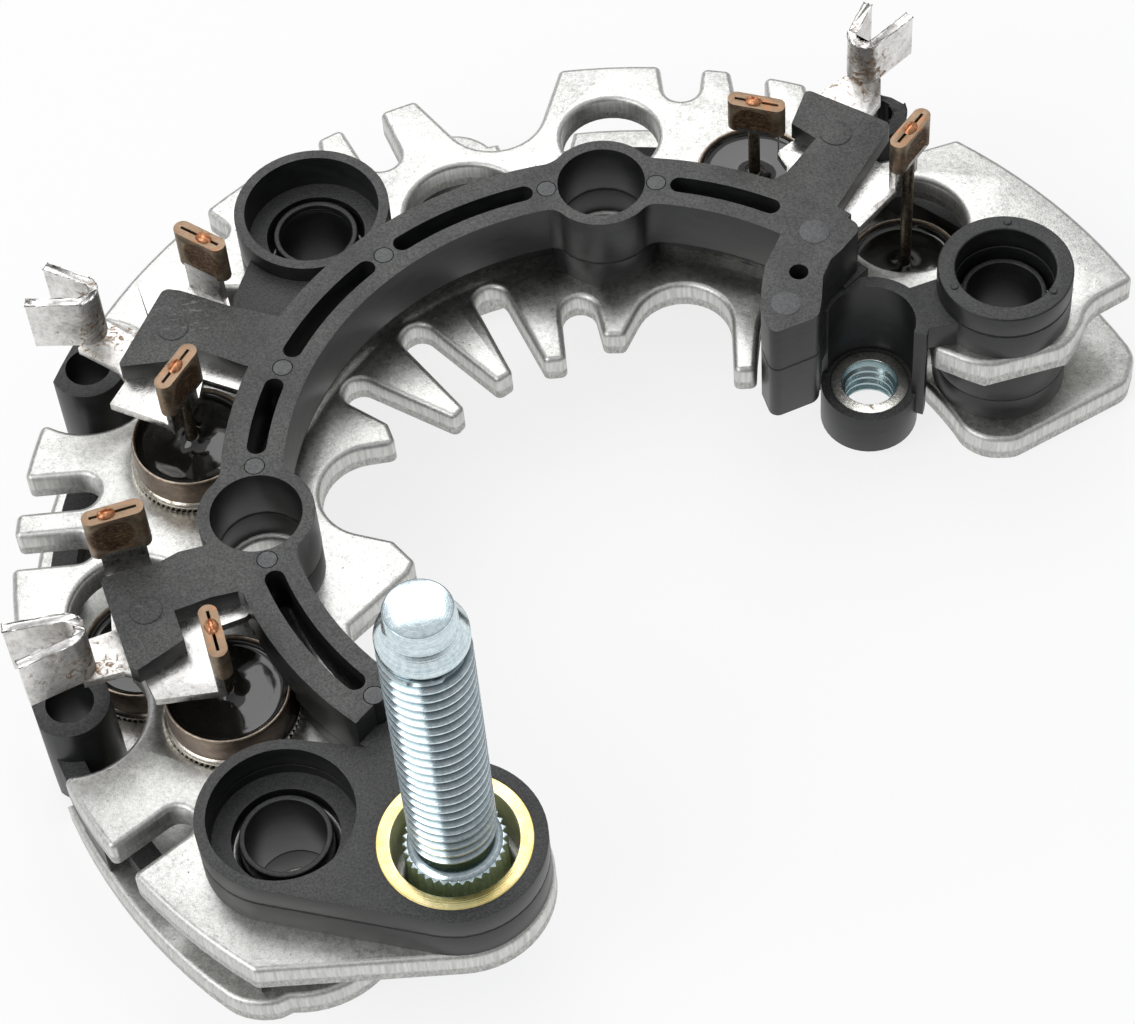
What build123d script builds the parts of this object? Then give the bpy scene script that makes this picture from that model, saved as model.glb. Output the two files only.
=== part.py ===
from build123d import *

import os
from math import acos, atan2, cos, degrees, hypot, radians, sin

# An alternator rectifier. Two stamped horseshoe heat sinks lie one above the other, held apart by
# insulators. A staked two-part plastic frame runs round them and carries three phase terminals,
# which clamp the leads of six press-fit diodes. All sizes are in millimetres and degrees.
# Plan positions are measured from the alternator's shaft axis, with +X to the right.


def polar(radius, angle):
    """Plan point at a radius and an angle round the shaft axis."""
    return radius * cos(radians(angle)), radius * sin(radians(angle))


def midway(start, end, share=0.5):
    """Point that lies a share of the way from start to end."""
    return start[0] + share * (end[0] - start[0]), start[1] + share * (end[1] - start[1])


# The stack, from the seat upwards
PLATE_T = 3.0
SPACER_T = 3.0
BUSH_RING_T = 4.0
BASE_T = 3.4
COVER_T = 6.0
FLANGE_T = 2.6
ARM_T = 2.1
STRIP_T = 0.9

NEGATIVE_TOP = PLATE_T
SPACER_TOP = NEGATIVE_TOP + SPACER_T
POSITIVE_BOTTOM = SPACER_TOP + BUSH_RING_T
POSITIVE_TOP = POSITIVE_BOTTOM + PLATE_T
PARTING = POSITIVE_TOP + BASE_T
FLANGE_TOP = PARTING + FLANGE_T
FRAME_TOP = PARTING + COVER_T
ARM_BOTTOM = FRAME_TOP - ARM_T
STRIP_BOTTOM = ARM_BOTTOM - STRIP_T

# The fixing holes and what stands in them
FIX_NEAR = (-32.8, -33.9)
FIX_FAR = (-27.7, 35.3)
FIX_END = (40.56, 21.03)
FIX_BORE_R = 3.7
NOSE_WALL = 0.6
NOSE_CLEARANCE = 0.2
NOSE_RECESS_CLEARANCE = 0.7
BUSH_RING_R = 6.75
CUP_R = 7.85
CUP_WALL = 1.05
NEAR_SHELF_T = 2.0
FAR_SHELF_RISE = 0.6
FAR_CUP_RISE = 4.6
NOSE_ABOVE_SHELF = 0.2
END_WALL = 1.8
END_BODY_T = 3.3
END_SEAT_T = 2.1
END_COLLAR_T = 2.7
NOSE_R = FIX_BORE_R + NOSE_WALL
SHELF_HOLE_R = NOSE_R + NOSE_RECESS_CLEARANCE
NEAR_SHELF = POSITIVE_TOP + NEAR_SHELF_T
FAR_SHELF = PARTING + FAR_SHELF_RISE
END_BODY_TOP = POSITIVE_TOP + END_BODY_T
END_SEAT = POSITIVE_TOP + END_SEAT_T

# Both heat sinks share the outer circle
RIM_R = 58.8
FAR_OUT = 75.0
TIP_R = 0.7

# The positive heat sink: inner edge with its fin tips, from the stud round to the right end
STUD_AT = (-17.4, -38.2)
STUD_LOBE_R = 8.6
POSITIVE_NEAR_EDGE = -45.2
POSITIVE_INNER_EDGE = [
    (-9.6, -34.6), (-11.5, -31.5), (-19.0, -26.5), (-25.5, -19.3), (-26.3, -10.2), (-20.4, -4.8),
    (-19.8, -3.4), (-21.8, -0.7), (-21.0, 11.0), (-21.7, 13.6), (-15.1, 13.2), (-14.1, 14.4),
    (-10.6, 17.3), (-9.1, 18.3), (-5.7, 19.4), (-3.6, 19.4), (0.5, 22.0), (2.3, 21.8),
    (12.9, 15.9), (15.2, 15.8), (15.6, 18.5), (16.2, 21.6), (16.8, 23.2), (22.5, 23.2),
    (30.0, 21.0), (33.2, 16.3), (37.5, 13.4), (46.4, 15.2), (48.3, 18.2), (49.1, 20.4),
]
POSITIVE_END_CORNER = (53.9, 22.9)
# Gaps between the fins: root, radius and the two corners of the mouth
FIN_GAPS = [
    ((-23.5, 5.5), 5.2, (-21.8, -0.7), (-21.0, 10.9)),
    ((-24.3, 17.7), 1.6, (-21.7, 13.6), (-15.1, 13.3)),
    ((-18.1, 23.8), 1.65, (-14.0, 14.6), (-10.6, 17.4)),
    ((-10.5, 27.9), 1.65, (-9.0, 18.6), (-5.8, 19.7)),
    ((-1.8, 25.5), 1.75, (-3.5, 19.8), (0.4, 22.2)),
    ((8.5, 22.6), 4.9, (2.6, 22.0), (13.0, 16.5)),
]
# Gaps between the tabs of the outer rim, in the same form
RIM_GAPS = [
    ((18.6, 52.3), 1.6, (20.2, 55.2), (16.8, 56.0)),
    ((11.4, 54.7), 1.9, (13.7, 56.5), (9.4, 58.0)),
    ((-8.7, 53.6), 5.3, (-2.1, 56.5), (-16.7, 56.0)),
    ((-20.9, 48.9), 2.0, (-20.6, 54.5), (-24.7, 52.8)),
    ((-28.6, 47.5), 1.6, (-27.4, 51.1), (-31.0, 49.9)),
]
# Straight slots in the outer rim: root, radius and heading
RIM_SLOTS = [
    ((-38.6, 40.6), 1.3, 133.8),
    ((-52.4, 8.6), 2.0, 180.0),
    ((-52.6, 1.9), 1.8, 180.0),
    ((-43.1, -30.2), 1.65, 215.6),
]
GAP_RUN = 8.0
SPARE_SEAT = ((-12.3, 40.0), 6.4)
WINDOW = ((3.3, 48.7), 5.1)
NEGATIVE_LEAD_HOLE_R = 6.2
FRAME_TUBE_HOLE_R = 3.8

# The negative heat sink
NEGATIVE_W = 20.3
NEGATIVE_NEAR_LOBE_R = 10.0
NEGATIVE_NEAR_EDGE = [(-38.6, -44.9), (-35.3, -44.3), (-32.3, -43.0), (-27.8, -40.6)]
NEGATIVE_RIGHT_EDGE = [
    (28.0, 25.5), (31.2, 23.3), (33.2, 16.6), (35.6, 12.0), (41.0, 11.6), (53.4, 17.6),
    (54.7, 20.9), (53.2, 27.5),
]
NEGATIVE_EDGE_R = 1.2
NEGATIVE_END_R = 2.6
NEGATIVE_VALLEY = ((-4.6, 53.2), 2.6, (-0.4, 58.6), (-8.4, 57.4))
NEGATIVE_LOBE = ((-13.8, 54.8), 5.2)

# Diodes: where they stand, and the radius and angle of each one
POSITIVE_DIODES = [(42.1, 164.7), (42.0, 206.3), (42.3, 65.6)]
NEGATIVE_DIODES = [(46.1, 144.9), (47.4, 187.5), (46.2, 45.4)]
KNURL_R = 6.45
KNURL_T = 4.0
COLLAR_R = 6.05
COLLAR_TIP_R = 5.9
COLLAR_T = 3.0
POTTING_R = 5.5
CUP_FLOOR_T = 1.2
POTTING_DROP = 0.8
POTTING_BOSS_R = 1.7
POTTING_BOSS_T = 0.7
LEAD_R = 0.6
DIODE_CHAMFER = 0.3
DIODE_CLEARANCE = 0.5

# The staked frame
FRAME_INNER_R = 31.3
FRAME_OUTER_R = 37.3
BASE_INNER_R = 33.4
BASE_OUTER_R = 36.9
FRAME_RIGHT_END = 46.0
BASE_RIGHT_END = 42.0
FRAME_STEP = 227.0
FRAME_NEAR_END = 236.0
TUBE_ANGLES = (87.3, 185.0)
TUBE_PITCH_R = 34.05
TUBE_R = 5.6
TUBE_FOOT_R = 5.3
TUBE_BORE_R = 4.4
POST_BESIDE_TUBE = 9.3
POST_R = 0.92
POST_CLEARANCE = 0.08
FIRST_SLOT_END = 53.9
MIDDLE_POSTS = (127.2, 155.5)
LAST_POST = 225.9
SLOT_W = 1.9
SLOT_MARGIN = 2.4
FLANGE_STUD_R = 8.35
FAR_LEDGE = [(-29.7, 20.0), (-36.3, 23.6), (-36.0, 26.2), (-34.2, 31.0), (-27.7, 33.0), (-20.5, 29.3)]

# The end block of the cover, and the lug with its chamber beside it
END_BLOCK = [
    (15.7, 15.8), (16.4, 12.6), (21.2, 14.3), (21.7, 16.3), (22.2, 19.3), (23.2, 21.3),
    (24.5, 22.5), (26.8, 25.1), (24.4, 27.6), (20.0, 27.6), (18.0, 23.8), (16.7, 21.3),
    (16.0, 18.3),
]
END_BLOCK_DROP = 7.4
END_BLOCK_LOWER_EDGE = 22.7
END_HOLE = ((19.9, 20.1), 0.95)
END_HOLE_T = 3.0
LUG_AT = (26.9, 18.05)
LUG_R = 4.93
LUG_BOTTOM = 1.2
LUG_TOP = 6.4
LUG_CLEARANCE = 1.17
CHAMBER_INNER_R = 4.4
CHAMBER_WALL = 1.3
CHAMBER_BOTTOM = 3.3
CHAMBER_TOP = 16.2
CHAMBER_SPAN = (-25.0, 158.0)
INSERT_R = 4.0
INSERT_BORE_R = 2.55
LINK = [(30.8, 21.7), (34.2, 22.7), (35.7, 16.8), (32.0, 16.5)]

# The stud and its sleeve
STUD_R = 4.0
STUD_TOP = 55.7
STUD_PILOT_R = 2.98
STUD_PILOT_L = 2.0
STUD_PILOT_TAPER = 0.15
STUD_SHOULDER_L = 2.4
SERRATION_R = 4.75
SERRATION_DEPTH = 0.45
SERRATIONS = 34
SERRATION_RISE = 0.2
STUD_HEAD_R = 6.2
STUD_HEAD_T = 2.4
SLEEVE_R = 7.08
SLEEVE_WALL = 1.29

# The lower insulator, with its wire tubes
CARRIER_INSET = 2.3
CARRIER_W = 2.5
CARRIER_SPAN = (31.0, 232.0)
CARRIER_STEP_INSET = 5.5
CARRIER_STEP_W = 3.9
CARRIER_STEP = (64.0, 112.0)
CARRIER_STEP_JOINT = 3.0
CARRIER_LAP = 1.0
SPOKE_HALF_ANGLE = 3.0
END_SPOKE_TURN = 6.6
LOWER_WALL_INSET = 0.5
LOWER_WALL_SPAN = (198.0, 209.6)
LOWER_WALL_LAP = 0.5
WIRE_TUBES = [(-51.3, 22.8), (-52.7, -17.0), (30.5, 47.0)]
WIRE_TUBE_NOTCH_R = (7.0, 7.0, 5.2)
WIRE_TUBE_TOP = 14.5
WIRE_TUBE_R = 3.8
WIRE_BORE_R = 2.3
WIRE_CLEARANCE = 0.8
WIRE_LEAD_IN = 0.6
WIRE_TUBE_3_MOUTH = ((39.2, 43.8), (24.5, 53.0))

# The phase terminals
CRIMP_L = 5.9
CRIMP_T = 1.8
CRIMP_BOTTOM = 22.0
CRIMP_TAB_INSET = 0.7
CRIMP_SEAM = 0.3
CRIMP_END_WALL = 0.7
LEAD_ABOVE_CRIMP = 0.2
LEAD_START = 2.2
LEAD_CLEARANCE = 0.05
U_BEND_R = 1.4
ARM_PEG_R = 1.5
ARM_PEG_HEAD_R = 2.1
ARM_PEG_HEAD_T = 0.8
STRIP_ROOT_R = 35.8


BASE = (Align.CENTER, Align.CENTER, Align.MIN)


def disc(centre, radius):
    """Flat round face about a plan point."""
    return Pos(*centre) * Circle(radius)


def polygon(points):
    """Flat face with straight edges through plan points."""
    return make_face(Polyline(*points, close=True))


def soft_polygon(points, radii):
    """Flat face with straight edges through plan points, and a radius at each corner."""
    return make_face(FilletPolyline(*points, radius=radii, close=True))


def sector(inner, outer, start, end):
    """Flat face between two radii about the shaft axis, from one angle to another."""
    return make_face([
        CenterArc((0, 0), outer, start, end - start),
        Line(polar(outer, end), polar(inner, end)),
        CenterArc((0, 0), inner, end, start - end),
        Line(polar(inner, start), polar(outer, start)),
    ])


def prism(face, bottom, top):
    """Upright solid from a flat face, between two levels."""
    return extrude(Pos(Z=bottom) * face, top - bottom)


def tangent_point(centre, radius, point, side):
    """Where a line from a point touches a circle, on one side or the other."""
    across, along = point[0] - centre[0], point[1] - centre[1]
    angle = atan2(along, across) + side * acos(radius / hypot(across, along))
    return centre[0] + radius * cos(angle), centre[1] + radius * sin(angle)


def loop_ends(root, radius, mouth_a, mouth_b):
    """Where the two sides of an open loop leave its round root for their ends."""
    cross = (mouth_a[0] - root[0]) * (mouth_b[1] - root[1])
    cross -= (mouth_a[1] - root[1]) * (mouth_b[0] - root[0])
    turn = 1 if cross > 0 else -1
    return tangent_point(root, radius, mouth_a, -turn), tangent_point(root, radius, mouth_b, turn)


def past(start, end, run):
    """Point a run past the end of a line."""
    return midway(start, end, 1 + run / hypot(end[0] - start[0], end[1] - start[1]))


def gap(root, radius, mouth_a, mouth_b):
    """Cutter for an open gap: a round root with sides that touch it and run past the mouth."""
    start, end = loop_ends(root, radius, mouth_a, mouth_b)
    corners = [start, past(start, mouth_a, GAP_RUN), past(end, mouth_b, GAP_RUN), end]
    return disc(root, radius) + polygon(corners)


def slot(root, radius, heading):
    """Cutter for a straight slot with a round root."""
    along = (cos(radians(heading)), sin(radians(heading)))
    corners = []
    for side in (-1, 1):
        corners.append((
            root[0] + GAP_RUN * along[0] - side * radius * along[1],
            root[1] + GAP_RUN * along[1] + side * radius * along[0],
        ))
    return gap(root, radius, corners[0], corners[1])


def rounded(face, radius):
    """The face with its outward corners rounded."""
    return offset(offset(face, -radius), radius)


def crimp_ends(place, heading, shift):
    """The two ends of a diode crimp's centre line."""
    along = (cos(radians(heading)), sin(radians(heading)))
    ends = []
    for reach in (shift - (CRIMP_L - CRIMP_T) / 2, shift + (CRIMP_L - CRIMP_T) / 2):
        ends.append((place[0] + reach * along[0], place[1] + reach * along[1]))
    return ends


NEGATIVE_INNER_R = RIM_R - NEGATIVE_W
CARRIER_OUTER_R = RIM_R - CARRIER_INSET
CARRIER_INNER_R = CARRIER_OUTER_R - CARRIER_W
CARRIER_STEP_OUTER_R = RIM_R - CARRIER_STEP_INSET
CARRIER_STEP_INNER_R = CARRIER_STEP_OUTER_R - CARRIER_STEP_W
LOWER_WALL_R = RIM_R - LOWER_WALL_INSET
P_PLACES = [polar(*place) for place in POSITIVE_DIODES]
N_PLACES = [polar(*place) for place in NEGATIVE_DIODES]
FRAME_TUBES = [polar(TUBE_PITCH_R, angle) for angle in TUBE_ANGLES]
FAR_TUBE_ANGLE, NEAR_TUBE_ANGLE = TUBE_ANGLES
SLOT_SPANS = [
    (FIRST_SLOT_END, FAR_TUBE_ANGLE - POST_BESIDE_TUBE),
    (FAR_TUBE_ANGLE + POST_BESIDE_TUBE, MIDDLE_POSTS[0]),
    MIDDLE_POSTS,
    (MIDDLE_POSTS[1], NEAR_TUBE_ANGLE - POST_BESIDE_TUBE),
    (NEAR_TUBE_ANGLE + POST_BESIDE_TUBE, LAST_POST),
]
POST_ANGLES = sorted({angle for span in SLOT_SPANS for angle in span if angle != FIRST_SLOT_END})

# Diode crimps in the order of the phases: heading, shift of the middle off the lead, top level
P_CRIMPS = [(56.0, 0.0, 27.9), (-78.0, 0.5, 27.2), (-20.5, 0.3, 27.3)]
N_CRIMPS = [(-37.0, -0.5, 28.2), (13.0, 0.6, 28.8), (50.0, 0.0, 27.5)]
P_ENDS = [crimp_ends(place, crimp[0], crimp[1]) for place, crimp in zip(P_PLACES, P_CRIMPS)]
N_ENDS = [crimp_ends(place, crimp[0], crimp[1]) for place, crimp in zip(N_PLACES, N_CRIMPS)]

# Each phase: the strip's outline, the arm that covers it, the pegs through both, and the open
# crimp for the stator wire as the centre of its bend and the tips of its two flags
PHASES = [
    {
        "strip": [
            (-48.1, 13.3), (-42.8, 10.4), P_ENDS[0][0], P_ENDS[0][1], (-39.0, 15.3), (-35.7, 13.6),
            polar(STRIP_ROOT_R, 160.0), polar(STRIP_ROOT_R, 148.0), (-36.0, 23.3), N_ENDS[0][1],
            N_ENDS[0][0], (-41.5, 25.2), (-45.2, 21.9), (-48.6, 24.0), (-51.3, 20.6),
            (-47.4, 17.6), (-46.6, 15.9),
        ],
        "arm": [
            (-42.5, 25.5), (-47.1, 16.1), (-42.3, 16.2), (-39.6, 17.6), (-34.8, 14.9),
            (-31.5, 13.5), (-28.5, 19.0), (-31.3, 20.6), (-36.3, 22.6), (-40.8, 25.0),
        ],
        "pegs": [(-41.6, 20.3)],
        "stator": ((-50.2, 22.7), (-55.4, 21.8), (-53.5, 26.2)),
        "stator_top": 26.5,
    },
    {
        "strip": [
            (-44.9, -18.6), (-43.8, -21.4), P_ENDS[1][1], P_ENDS[1][0], (-37.6, -13.9),
            (-35.4, -13.2), polar(STRIP_ROOT_R, 199.0), polar(STRIP_ROOT_R, 195.5), (-43.3, -8.0),
            N_ENDS[1][1], N_ENDS[1][0], (-48.0, -9.5), (-47.8, -13.4), (-51.1, -14.4),
            (-50.4, -18.8), (-46.7, -18.0),
        ],
        "arm": [
            (-48.5, -9.2), (-45.8, -19.0), (-45.1, -19.4), (-40.8, -16.5), (-41.7, -13.2),
            (-38.3, -12.1), (-35.8, -11.7), (-33.5, -13.0), (-31.5, -7.0), (-36.0, -5.0),
            (-39.1, -6.2), (-41.3, -6.6), (-43.3, -7.7), (-48.3, -8.7),
        ],
        "pegs": [(-44.3, -12.9)],
        "stator": ((-51.1, -17.1), (-55.3, -20.4), (-56.8, -16.2)),
        "stator_top": 26.5,
    },
    {
        "strip": [
            polar(STRIP_ROOT_R, 47.5), (26.8, 26.9), N_ENDS[2][0], N_ENDS[2][1], (30.2, 34.5),
            (28.6, 36.5), (28.9, 40.5), (31.0, 43.4), (31.4, 46.4), (28.1, 47.4), (25.0, 45.4),
            (23.6, 42.5), (22.0, 39.4), P_ENDS[2][1], (20.5, 35.5), polar(STRIP_ROOT_R, 58.0),
        ],
        "arm": [
            (20.2, 33.1), (23.6, 37.2), (21.4, 39.5), (23.4, 44.0), (28.9, 40.1), (31.4, 38.2),
            (24.4, 27.6), (19.0, 27.5), (16.5, 31.0),
        ],
        "pegs": [(25.7, 37.6)],
        "stator": ((29.9, 47.7), (34.7, 49.9), (30.7, 52.0)),
        "stator_top": 25.6,
    },
]


def positive_heat_sink():
    """Upper plate, with fins inside, tabs round the rim and the seats of its diodes."""
    edge = POSITIVE_INNER_EDGE + [
        past(POSITIVE_INNER_EDGE[-1], POSITIVE_END_CORNER, FAR_OUT), (FAR_OUT, FAR_OUT),
        (-FAR_OUT, FAR_OUT), (-FAR_OUT, POSITIVE_NEAR_EDGE),
        (STUD_AT[0], STUD_AT[1] - STUD_LOBE_R),
    ]
    face = polygon(edge) & Circle(RIM_R)
    face += disc(STUD_AT, STUD_LOBE_R)
    for root, radius, mouth_a, mouth_b in FIN_GAPS + RIM_GAPS:
        face -= gap(root, radius, mouth_a, mouth_b)
    for root, radius, heading in RIM_SLOTS:
        face -= slot(root, radius, heading)
    for place, radius in zip(WIRE_TUBES, WIRE_TUBE_NOTCH_R):
        face -= disc(place, radius)
    face -= gap(WIRE_TUBES[2], WIRE_TUBE_NOTCH_R[2], *WIRE_TUBE_3_MOUTH)
    face -= disc(LUG_AT, LUG_R + LUG_CLEARANCE)
    face = rounded(face, TIP_R)
    for place in P_PLACES:
        face -= disc(place, KNURL_R)
    for place in N_PLACES:
        face -= disc(place, NEGATIVE_LEAD_HOLE_R)
    for place in FRAME_TUBES:
        face -= disc(place, FRAME_TUBE_HOLE_R)
    for place in (FIX_NEAR, FIX_FAR, FIX_END):
        face -= disc(place, NOSE_R + NOSE_CLEARANCE)
    face -= disc(*SPARE_SEAT) + disc(*WINDOW)
    face -= disc(STUD_AT, SERRATION_R)
    return prism(face, POSITIVE_BOTTOM, POSITIVE_TOP)


def negative_heat_sink():
    """Lower plate, which is the seat of the rectifier on the alternator."""
    hidden_edge = [(0.0, 0.0)] + NEGATIVE_RIGHT_EDGE[:3]
    end_edge = NEGATIVE_RIGHT_EDGE[3:]
    outside = [(FAR_OUT, end_edge[-1][1]), (FAR_OUT, -FAR_OUT), (NEGATIVE_NEAR_EDGE[0][0], -FAR_OUT)]
    near_edge = NEGATIVE_NEAR_EDGE + [FIX_NEAR]
    radii = [NEGATIVE_EDGE_R] * len(hidden_edge) + [NEGATIVE_END_R] * len(end_edge)
    radii += [NEGATIVE_EDGE_R] * len(outside + near_edge)
    open_side = soft_polygon(hidden_edge + end_edge + outside + near_edge, radii)
    face = Circle(RIM_R) - Circle(NEGATIVE_INNER_R) - open_side
    face += disc(FIX_NEAR, NEGATIVE_NEAR_LOBE_R)
    face -= gap(*NEGATIVE_VALLEY)
    face += disc(*NEGATIVE_LOBE)
    for place in N_PLACES:
        face -= disc(place, KNURL_R)
    for place in (FIX_NEAR, FIX_FAR, FIX_END):
        face -= disc(place, FIX_BORE_R)
    for place in WIRE_TUBES:
        face -= slot(place, WIRE_BORE_R + WIRE_CLEARANCE, degrees(atan2(place[1], place[0])))
    return prism(face, 0, PLATE_T)


def insulating_bush(place, nose_top):
    """Flanged bush between the heat sinks, whose nose lines the fixing hole above."""
    bush = prism(disc(place, BUSH_RING_R), SPACER_TOP, POSITIVE_BOTTOM)
    bush += prism(disc(place, NOSE_R), POSITIVE_BOTTOM, nose_top)
    return bush - prism(disc(place, FIX_BORE_R), SPACER_TOP, nose_top)


def lower_insulator():
    """Lower moulding: spacers and wire tubes on a carrier that follows the rim."""
    step_start, step_end = CARRIER_STEP
    band = sector(CARRIER_INNER_R, CARRIER_OUTER_R, CARRIER_SPAN[0], step_start + CARRIER_STEP_JOINT)
    band += sector(CARRIER_INNER_R, CARRIER_OUTER_R, step_end - CARRIER_STEP_JOINT, CARRIER_SPAN[1])
    band += sector(CARRIER_STEP_INNER_R, CARRIER_STEP_OUTER_R, step_start, step_end)
    for start in (step_start, step_end - CARRIER_STEP_JOINT):
        band += sector(CARRIER_STEP_INNER_R, CARRIER_OUTER_R, start, start + CARRIER_STEP_JOINT)
    for place, turn in ((FIX_NEAR, 0.0), (FIX_FAR, 0.0), (FIX_END, END_SPOKE_TURN)):
        angle = degrees(atan2(place[1], place[0])) + turn
        spoke = (angle - SPOKE_HALF_ANGLE, angle + SPOKE_HALF_ANGLE)
        band += disc(place, BUSH_RING_R)
        band += sector(hypot(*place), CARRIER_INNER_R + CARRIER_LAP, *spoke)
    for place in N_PLACES:
        band -= disc(place, KNURL_R + DIODE_CLEARANCE)
    for place in (FIX_NEAR, FIX_FAR, FIX_END):
        band -= disc(place, FIX_BORE_R)
    moulding = prism(band, NEGATIVE_TOP, SPACER_TOP)
    wall = sector(CARRIER_OUTER_R - LOWER_WALL_LAP, LOWER_WALL_R, *LOWER_WALL_SPAN)
    moulding += prism(wall, NEGATIVE_TOP, POSITIVE_BOTTOM)
    for place in WIRE_TUBES:
        moulding += prism(disc(place, WIRE_TUBE_R) & Circle(RIM_R), NEGATIVE_TOP, WIRE_TUBE_TOP)
    for place in WIRE_TUBES:
        moulding -= prism(disc(place, WIRE_BORE_R), NEGATIVE_TOP, WIRE_TUBE_TOP)
        mouth = disc(place, WIRE_BORE_R + WIRE_CLEARANCE)
        moulding -= prism(mouth, NEGATIVE_TOP, NEGATIVE_TOP + WIRE_LEAD_IN)
    return moulding


def flange():
    """Outline of the frame's flange, round the near fixing and the stud."""
    return make_hull(disc(FIX_NEAR, CUP_R).edges() + disc(STUD_AT, FLANGE_STUD_R).edges())


def end_block_foot():
    """Lower part of the end block, which hangs down beside the lug's chamber."""
    front = Pos(0, END_BLOCK_LOWER_EDGE - FAR_OUT) * Rectangle(2 * FAR_OUT, 2 * FAR_OUT)
    return prism(polygon(END_BLOCK) & front, PARTING - END_BLOCK_DROP, PARTING)


def terminal_base():
    """Lower half of the frame, which stands on the positive heat sink and holds the lug."""
    face = sector(BASE_INNER_R, BASE_OUTER_R, BASE_RIGHT_END, FRAME_NEAR_END)
    face += polygon(FAR_LEDGE) + disc(FIX_FAR, CUP_R)
    for place in FRAME_TUBES:
        face += disc(place, TUBE_FOOT_R)
    for place in P_PLACES:
        face -= disc(place, KNURL_R + DIODE_CLEARANCE)
    for place in FRAME_TUBES:
        face -= disc(place, TUBE_BORE_R)
    face += flange()
    face -= disc(STUD_AT, SLEEVE_R) + disc(FIX_NEAR, SHELF_HOLE_R) + disc(FIX_FAR, SHELF_HOLE_R)
    base = prism(face, POSITIVE_TOP, PARTING)
    base -= prism(disc(FIX_NEAR, CUP_R - CUP_WALL), NEAR_SHELF, PARTING)
    for angle in POST_ANGLES:
        base += prism(disc(polar(TUBE_PITCH_R, angle), POST_R), PARTING, FRAME_TOP)
    chamber = Pos(*LUG_AT) * sector(CHAMBER_INNER_R, CHAMBER_INNER_R + CHAMBER_WALL, *CHAMBER_SPAN)
    base += prism(chamber, CHAMBER_BOTTOM, CHAMBER_TOP)
    base += prism(disc(LUG_AT, LUG_R), LUG_BOTTOM, LUG_TOP)
    base -= prism(disc(LUG_AT, INSERT_R), LUG_BOTTOM, LUG_TOP)
    base += prism(polygon(LINK), POSITIVE_TOP, CHAMBER_TOP)
    base += prism(disc(FIX_END, BUSH_RING_R), POSITIVE_TOP, END_BODY_TOP)
    base -= prism(disc(FIX_END, BUSH_RING_R - END_WALL), POSITIVE_TOP, END_BODY_TOP)
    return base - end_block_foot()


def frame_slots():
    """Cutters for the curved slots between the stake posts."""
    margin = SLOT_MARGIN + degrees(SLOT_W / 2 / TUBE_PITCH_R)
    cutters = Sketch()
    for start, end in SLOT_SPANS:
        run = CenterArc((0, 0), TUBE_PITCH_R, start + margin, end - start - 2 * margin)
        cutters += SlotArc(run, SLOT_W)
    return cutters


def terminal_cover(strips):
    """Upper half of the frame, with its slots, tubes, arms, cups and end block."""
    face = sector(FRAME_INNER_R, FRAME_OUTER_R, FRAME_RIGHT_END, FRAME_STEP) + polygon(END_BLOCK)
    for place in FRAME_TUBES:
        face += disc(place, TUBE_R)
    cover = prism(face, PARTING, FRAME_TOP)
    low = sector(FRAME_INNER_R, FRAME_OUTER_R, FRAME_STEP - SLOT_MARGIN, FRAME_NEAR_END)
    cover += prism(low + flange() + polygon(FAR_LEDGE), PARTING, FLANGE_TOP)
    cover += prism(disc(FIX_FAR, CUP_R), PARTING, PARTING + FAR_CUP_RISE)
    for phase in PHASES:
        cover += prism(polygon(phase["arm"]), ARM_BOTTOM, FRAME_TOP)
    cover += end_block_foot()
    for place in FRAME_TUBES:
        cover -= prism(disc(place, TUBE_BORE_R), PARTING, FRAME_TOP)
    holes = frame_slots()
    for angle in POST_ANGLES:
        holes += disc(polar(TUBE_PITCH_R, angle), POST_R + POST_CLEARANCE)
    cover -= prism(holes, PARTING, FRAME_TOP)
    for place in P_PLACES:
        relief = disc(place, COLLAR_R + DIODE_CLEARANCE)
        cover -= prism(relief, PARTING, POSITIVE_BOTTOM + KNURL_T + COLLAR_T + DIODE_CLEARANCE)
    cover -= prism(disc(FIX_NEAR, CUP_R - CUP_WALL), PARTING, FLANGE_TOP)
    cover -= prism(disc(STUD_AT, SLEEVE_R), PARTING, FLANGE_TOP)
    cover -= prism(disc(FIX_FAR, SHELF_HOLE_R), PARTING, FAR_SHELF)
    cover -= prism(disc(FIX_FAR, CUP_R - CUP_WALL), FAR_SHELF, PARTING + FAR_CUP_RISE)
    cover -= prism(disc(*END_HOLE), FRAME_TOP - END_HOLE_T, FRAME_TOP)
    for strip in strips:
        cover -= strip
    for phase in PHASES:
        for peg in phase["pegs"]:
            cover += prism(disc(peg, ARM_PEG_R), STRIP_BOTTOM, ARM_BOTTOM)
            cover += prism(disc(peg, ARM_PEG_HEAD_R), STRIP_BOTTOM - ARM_PEG_HEAD_T, STRIP_BOTTOM)
    return cover


def strip_solid(phase):
    """Flat strip of a phase terminal."""
    return prism(polygon(phase["strip"]), STRIP_BOTTOM, ARM_BOTTOM)


def stator_crimp(bend, tip_a, tip_b, top):
    """Open U of strip, standing on edge on the flat strip, that closes round a stator wire."""
    start, end = loop_ends(bend, U_BEND_R, tip_a, tip_b)
    back = past(midway(tip_a, tip_b), bend, U_BEND_R)
    line = Line(tip_a, start) + ThreePointArc(start, back, end) + Line(end, tip_b)
    return prism(trace(line, STRIP_T), ARM_BOTTOM, top)


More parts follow.
